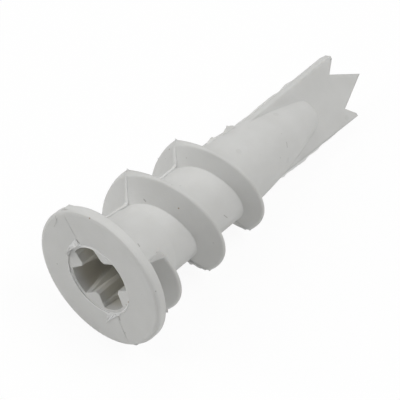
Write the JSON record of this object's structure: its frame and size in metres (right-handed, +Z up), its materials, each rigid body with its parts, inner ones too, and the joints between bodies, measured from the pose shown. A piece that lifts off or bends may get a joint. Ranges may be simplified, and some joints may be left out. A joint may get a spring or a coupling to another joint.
{
  "type": "self-drilling drywall anchor",
  "caption": "Moulded nylon self-drilling wallboard anchor: flat round head with a cross recess, coarse tapering thread, screw bore and a flat pronged cutting tip.",
  "frame": {"origin": "on the ground, below the middle of the part's bounding box", "axes": "+Z up, +X along the anchor from the head to the cutting tip, which points about 6 degrees below the horizontal as the part lies on its head's rim and its thread; +Y across, to the left when looking along +X"},
  "size_m": [0.0386, 0.0134, 0.0135],
  "materials": {
    "nylon": "satin"
  },
  "bodies": {
    "root": {"anchor_body": "nylon"}
  },
  "joints": []
}
